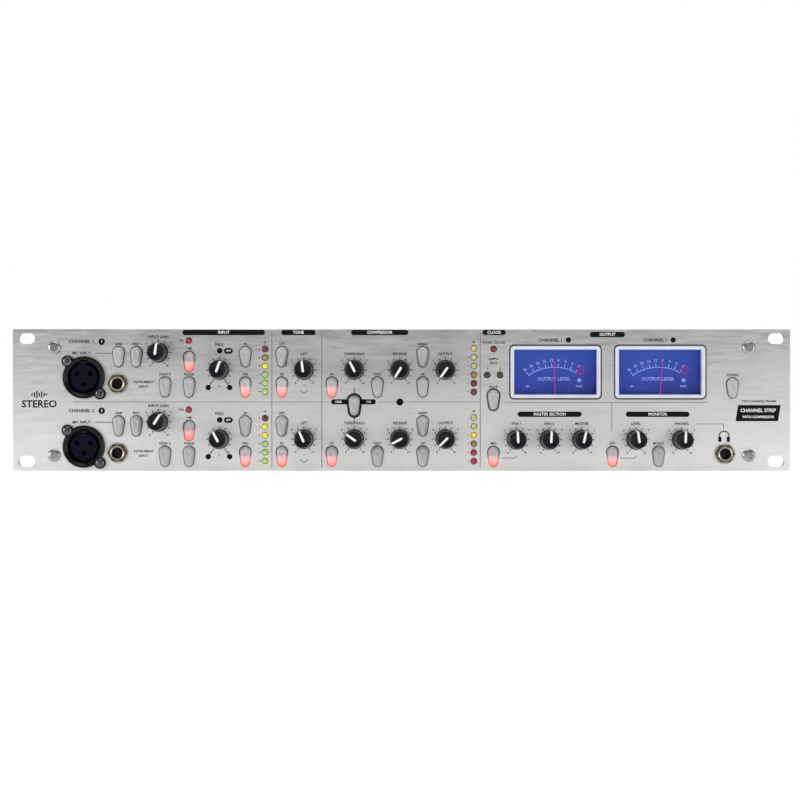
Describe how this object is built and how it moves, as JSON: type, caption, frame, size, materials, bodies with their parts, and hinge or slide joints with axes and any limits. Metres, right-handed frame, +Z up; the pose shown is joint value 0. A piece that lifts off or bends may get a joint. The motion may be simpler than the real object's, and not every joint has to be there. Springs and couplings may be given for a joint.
{
  "type": "rack compressor",
  "caption": "Two-channel rack compressor, 2 rack units high, with a silver panel, rotary knobs, push buttons, light columns, two needle meters and plug-in sockets.",
  "frame": {"origin": "middle of the bounding box's base: the front panel's bottom edge is at z = 0", "axes": "+Z up, the front panel faces -Y, +X to the right as seen from the front"},
  "size_m": [0.4826, 0.2736, 0.0881],
  "materials": {
    "front_panel": "brushed, clear anodised",
    "chassis": "fine-texture black paint",
    "knob": "satin moulded",
    "button": "translucent grey moulded",
    "button_lit": "translucent grey, lit red from behind",
    "meter": "blue backlit dial",
    "needle": "satin red paint",
    "socket": "satin black",
    "circuit_board": "green solder resist",
    "transformer": "wound and wrapped in dark polyester tape",
    "screw_steel": "bright zinc",
    "screw_black": "black zinc",
    "connector_metal": "nickel over brass",
    "legend_ink": "black screen print",
    "legend_white": "white paint",
    "meter_window": "clear acrylic",
    "led_red": "diffused lens",
    "led_yellow": "diffused lens",
    "led_green": "diffused lens"
  },
  "bodies": {
    "root": {"front_panel": "front_panel", "chassis_tray": "chassis", "top_cover": "chassis", "meter_left": "meter", "meter_right": "meter", "input_sockets": "socket", "control_board": "circuit_board", "main_board": "circuit_board", "ring_transformer": "transformer"},
    "input_gain_knob_1": {"input_gain_knob_1": "knob"},
    "high_pass_knob_1": {"high_pass_knob_1": "knob"},
    "air_knob_1": {"air_knob_1": "knob"},
    "threshold_knob_1": {"threshold_knob_1": "knob"},
    "release_knob_1": {"release_knob_1": "knob"},
    "makeup_gain_knob_1": {"makeup_gain_knob_1": "knob"},
    "input_gain_knob_2": {"input_gain_knob_2": "knob"},
    "high_pass_knob_2": {"high_pass_knob_2": "knob"},
    "air_knob_2": {"air_knob_2": "knob"},
    "threshold_knob_2": {"threshold_knob_2": "knob"},
    "release_knob_2": {"release_knob_2": "knob"},
    "makeup_gain_knob_2": {"makeup_gain_knob_2": "knob"},
    "channel_1_pan_knob": {"channel_1_pan_knob": "knob"},
    "channel_2_pan_knob": {"channel_2_pan_knob": "knob"},
    "master_level_knob": {"master_level_knob": "knob"},
    "monitor_level_knob": {"monitor_level_knob": "knob"},
    "headphone_level_knob": {"headphone_level_knob": "knob"},
    "line_input_button_1": {"line_input_button_1": "button"},
    "instrument_button_1": {"instrument_button_1": "button"},
    "impedance_button_1": {"impedance_button_1": "button"},
    "phantom_button_1": {"phantom_button_1": "button_lit"},
    "phase_button_1": {"phase_button_1": "button"},
    "high_pass_in_button_1": {"high_pass_in_button_1": "button"},
    "insert_button_1": {"insert_button_1": "button_lit"},
    "air_in_button_1": {"air_in_button_1": "button"},
    "filter_button_1": {"filter_button_1": "button_lit"},
    "compressor_in_button_1": {"compressor_in_button_1": "button_lit"},
    "fast_attack_button_1": {"fast_attack_button_1": "button"},
    "hard_ratio_button_1": {"hard_ratio_button_1": "button"},
    "treble_button_1": {"treble_button_1": "button"},
    "line_input_button_2": {"line_input_button_2": "button"},
    "instrument_button_2": {"instrument_button_2": "button"},
    "impedance_button_2": {"impedance_button_2": "button"},
    "phantom_button_2": {"phantom_button_2": "button_lit"},
    "phase_button_2": {"phase_button_2": "button"},
    "high_pass_in_button_2": {"high_pass_in_button_2": "button"},
    "insert_button_2": {"insert_button_2": "button_lit"},
    "air_in_button_2": {"air_in_button_2": "button"},
    "filter_button_2": {"filter_button_2": "button_lit"},
    "compressor_in_button_2": {"compressor_in_button_2": "button_lit"},
    "fast_attack_button_2": {"fast_attack_button_2": "button"},
    "hard_ratio_button_2": {"hard_ratio_button_2": "button"},
    "treble_button_2": {"treble_button_2": "button"},
    "stereo_link_button": {"stereo_link_button": "button"},
    "sample_rate_button": {"sample_rate_button": "button"},
    "monitor_mix_button": {"monitor_mix_button": "button_lit"},
    "return_button": {"return_button": "button_lit"},
    "mono_button": {"mono_button": "button"},
    "power_button": {"power_button": "button"},
    "meter_needle_left": {"meter_needle_left": "needle"},
    "meter_needle_right": {"meter_needle_right": "needle"}
  },
  "joints": [
    {"name": "input_gain_knob_1_turn", "type": "hinge", "parent": "root", "child": "input_gain_knob_1", "pos_m": [-0.1508, -0.1209, 0.0734], "axis": [0, 1, 0], "range_deg": [-158, 142]},
    {"name": "high_pass_knob_1_turn", "type": "hinge", "parent": "root", "child": "high_pass_knob_1", "pos_m": [-0.113, -0.1209, 0.0627], "axis": [0, 1, 0], "range_deg": [-170, 130]},
    {"name": "air_knob_1_turn", "type": "hinge", "parent": "root", "child": "air_knob_1", "pos_m": [-0.0605, -0.1209, 0.0627], "axis": [0, 1, 0], "range_deg": [-143, 157]},
    {"name": "threshold_knob_1_turn", "type": "hinge", "parent": "root", "child": "threshold_knob_1", "pos_m": [-0.0293, -0.1209, 0.0627], "axis": [0, 1, 0], "range_deg": [-123, 177]},
    {"name": "release_knob_1_turn", "type": "hinge", "parent": "root", "child": "release_knob_1", "pos_m": [-0.001, -0.1209, 0.0627], "axis": [0, 1, 0], "range_deg": [-2, 298]},
    {"name": "makeup_gain_knob_1_turn", "type": "hinge", "parent": "root", "child": "makeup_gain_knob_1", "pos_m": [0.0273, -0.1209, 0.0627], "axis": [0, 1, 0], "range_deg": [-5, 295]},
    {"name": "input_gain_knob_2_turn", "type": "hinge", "parent": "root", "child": "input_gain_knob_2", "pos_m": [-0.1508, -0.1209, 0.0305], "axis": [0, 1, 0], "range_deg": [-182, 118]},
    {"name": "high_pass_knob_2_turn", "type": "hinge", "parent": "root", "child": "high_pass_knob_2", "pos_m": [-0.113, -0.1209, 0.0198], "axis": [0, 1, 0], "range_deg": [-122, 178]},
    {"name": "air_knob_2_turn", "type": "hinge", "parent": "root", "child": "air_knob_2", "pos_m": [-0.0605, -0.1209, 0.0198], "axis": [0, 1, 0], "range_deg": [-126, 174]},
    {"name": "threshold_knob_2_turn", "type": "hinge", "parent": "root", "child": "threshold_knob_2", "pos_m": [-0.0293, -0.1209, 0.0198], "axis": [0, 1, 0], "range_deg": [-95, 205]},
    {"name": "release_knob_2_turn", "type": "hinge", "parent": "root", "child": "release_knob_2", "pos_m": [-0.001, -0.1209, 0.0198], "axis": [0, 1, 0], "range_deg": [-32, 268]},
    {"name": "makeup_gain_knob_2_turn", "type": "hinge", "parent": "root", "child": "makeup_gain_knob_2", "pos_m": [0.0273, -0.1209, 0.0198], "axis": [0, 1, 0], "range_deg": [-15, 285]},
    {"name": "channel_1_pan_knob_turn", "type": "hinge", "parent": "root", "child": "channel_1_pan_knob", "pos_m": [0.0714, -0.1209, 0.0194], "axis": [0, 1, 0], "range_deg": [-147, 153]},
    {"name": "channel_2_pan_knob_turn", "type": "hinge", "parent": "root", "child": "channel_2_pan_knob", "pos_m": [0.0917, -0.1209, 0.0194], "axis": [0, 1, 0], "range_deg": [-153, 147]},
    {"name": "master_level_knob_turn", "type": "hinge", "parent": "root", "child": "master_level_knob", "pos_m": [0.1119, -0.1209, 0.0194], "axis": [0, 1, 0], "range_deg": [-163, 137]},
    {"name": "monitor_level_knob_turn", "type": "hinge", "parent": "root", "child": "monitor_level_knob", "pos_m": [0.1455, -0.1209, 0.0194], "axis": [0, 1, 0], "range_deg": [-142, 158]},
    {"name": "headphone_level_knob_turn", "type": "hinge", "parent": "root", "child": "headphone_level_knob", "pos_m": [0.1739, -0.1209, 0.0194], "axis": [0, 1, 0], "range_deg": [-152, 148]},
    {"name": "line_input_button_1_press", "type": "slide", "parent": "root", "child": "line_input_button_1", "axis": [0, 1, 0], "range_m": [0, 0.0028], "stiffness_N_per_m": 150},
    {"name": "instrument_button_1_press", "type": "slide", "parent": "root", "child": "instrument_button_1", "axis": [0, 1, 0], "range_m": [0, 0.0028], "stiffness_N_per_m": 150},
    {"name": "impedance_button_1_press", "type": "slide", "parent": "root", "child": "impedance_button_1", "axis": [0, 1, 0], "range_m": [0, 0.0028], "stiffness_N_per_m": 150},
    {"name": "phantom_button_1_press", "type": "slide", "parent": "root", "child": "phantom_button_1", "axis": [0, 1, 0], "range_m": [-0.0016, 0.0012], "stiffness_N_per_m": 150},
    {"name": "phase_button_1_press", "type": "slide", "parent": "root", "child": "phase_button_1", "axis": [0, 1, 0], "range_m": [0, 0.0028], "stiffness_N_per_m": 150},
    {"name": "high_pass_in_button_1_press", "type": "slide", "parent": "root", "child": "high_pass_in_button_1", "axis": [0, 1, 0], "range_m": [0, 0.0028], "stiffness_N_per_m": 150},
    {"name": "insert_button_1_press", "type": "slide", "parent": "root", "child": "insert_button_1", "axis": [0, 1, 0], "range_m": [-0.0016, 0.0012], "stiffness_N_per_m": 150},
    {"name": "air_in_button_1_press", "type": "slide", "parent": "root", "child": "air_in_button_1", "axis": [0, 1, 0], "range_m": [0, 0.0028], "stiffness_N_per_m": 150},
    {"name": "filter_button_1_press", "type": "slide", "parent": "root", "child": "filter_button_1", "axis": [0, 1, 0], "range_m": [-0.0016, 0.0012], "stiffness_N_per_m": 150},
    {"name": "compressor_in_button_1_press", "type": "slide", "parent": "root", "child": "compressor_in_button_1", "axis": [0, 1, 0], "range_m": [-0.0016, 0.0012], "stiffness_N_per_m": 150},
    {"name": "fast_attack_button_1_press", "type": "slide", "parent": "root", "child": "fast_attack_button_1", "axis": [0, 1, 0], "range_m": [0, 0.0028], "stiffness_N_per_m": 150},
    {"name": "hard_ratio_button_1_press", "type": "slide", "parent": "root", "child": "hard_ratio_button_1", "axis": [0, 1, 0], "range_m": [0, 0.0028], "stiffness_N_per_m": 150},
    {"name": "treble_button_1_press", "type": "slide", "parent": "root", "child": "treble_button_1", "axis": [0, 1, 0], "range_m": [0, 0.0028], "stiffness_N_per_m": 150},
    {"name": "line_input_button_2_press", "type": "slide", "parent": "root", "child": "line_input_button_2", "axis": [0, 1, 0], "range_m": [0, 0.0028], "stiffness_N_per_m": 150},
    {"name": "instrument_button_2_press", "type": "slide", "parent": "root", "child": "instrument_button_2", "axis": [0, 1, 0], "range_m": [0, 0.0028], "stiffness_N_per_m": 150},
    {"name": "impedance_button_2_press", "type": "slide", "parent": "root", "child": "impedance_button_2", "axis": [0, 1, 0], "range_m": [0, 0.0028], "stiffness_N_per_m": 150},
    {"name": "phantom_button_2_press", "type": "slide", "parent": "root", "child": "phantom_button_2", "axis": [0, 1, 0], "range_m": [-0.0016, 0.0012], "stiffness_N_per_m": 150},
    {"name": "phase_button_2_press", "type": "slide", "parent": "root", "child": "phase_button_2", "axis": [0, 1, 0], "range_m": [0, 0.0028], "stiffness_N_per_m": 150},
    {"name": "high_pass_in_button_2_press", "type": "slide", "parent": "root", "child": "high_pass_in_button_2", "axis": [0, 1, 0], "range_m": [0, 0.0028], "stiffness_N_per_m": 150},
    {"name": "insert_button_2_press", "type": "slide", "parent": "root", "child": "insert_button_2", "axis": [0, 1, 0], "range_m": [-0.0016, 0.0012], "stiffness_N_per_m": 150},
    {"name": "air_in_button_2_press", "type": "slide", "parent": "root", "child": "air_in_button_2", "axis": [0, 1, 0], "range_m": [0, 0.0028], "stiffness_N_per_m": 150},
    {"name": "filter_button_2_press", "type": "slide", "parent": "root", "child": "filter_button_2", "axis": [0, 1, 0], "range_m": [-0.0016, 0.0012], "stiffness_N_per_m": 150},
    {"name": "compressor_in_button_2_press", "type": "slide", "parent": "root", "child": "compressor_in_button_2", "axis": [0, 1, 0], "range_m": [-0.0016, 0.0012], "stiffness_N_per_m": 150},
    {"name": "fast_attack_button_2_press", "type": "slide", "parent": "root", "child": "fast_attack_button_2", "axis": [0, 1, 0], "range_m": [0, 0.0028], "stiffness_N_per_m": 150},
    {"name": "hard_ratio_button_2_press", "type": "slide", "parent": "root", "child": "hard_ratio_button_2", "axis": [0, 1, 0], "range_m": [0, 0.0028], "stiffness_N_per_m": 150},
    {"name": "treble_button_2_press", "type": "slide", "parent": "root", "child": "treble_button_2", "axis": [0, 1, 0], "range_m": [0, 0.0028], "stiffness_N_per_m": 150},
    {"name": "stereo_link_button_press", "type": "slide", "parent": "root", "child": "stereo_link_button", "axis": [0, 1, 0], "range_m": [0, 0.0028], "stiffness_N_per_m": 150},
    {"name": "sample_rate_button_press", "type": "slide", "parent": "root", "child": "sample_rate_button", "axis": [0, 1, 0], "range_m": [0, 0.0028], "stiffness_N_per_m": 150},
    {"name": "monitor_mix_button_press", "type": "slide", "parent": "root", "child": "monitor_mix_button", "axis": [0, 1, 0], "range_m": [-0.0016, 0.0012], "stiffness_N_per_m": 150},
    {"name": "return_button_press", "type": "slide", "parent": "root", "child": "return_button", "axis": [0, 1, 0], "range_m": [-0.0016, 0.0012], "stiffness_N_per_m": 150},
    {"name": "mono_button_press", "type": "slide", "parent": "root", "child": "mono_button", "axis": [0, 1, 0], "range_m": [0, 0.0028], "stiffness_N_per_m": 150},
    {"name": "power_button_press", "type": "slide", "parent": "root", "child": "power_button", "axis": [0, 1, 0], "range_m": [0, 0.0028], "stiffness_N_per_m": 150},
    {"name": "meter_needle_left_swing", "type": "hinge", "parent": "root", "child": "meter_needle_left", "pos_m": [0.0956, -0.1153, 0.03705], "axis": [0, 1, 0], "range_deg": [-38, 38], "stiffness_Nm_per_rad": 0.0001},
    {"name": "meter_needle_right_swing", "type": "hinge", "parent": "root", "child": "meter_needle_right", "pos_m": [0.1606, -0.1153, 0.03705], "axis": [0, 1, 0], "range_deg": [-42, 34], "stiffness_Nm_per_rad": 0.0001}
  ]
}
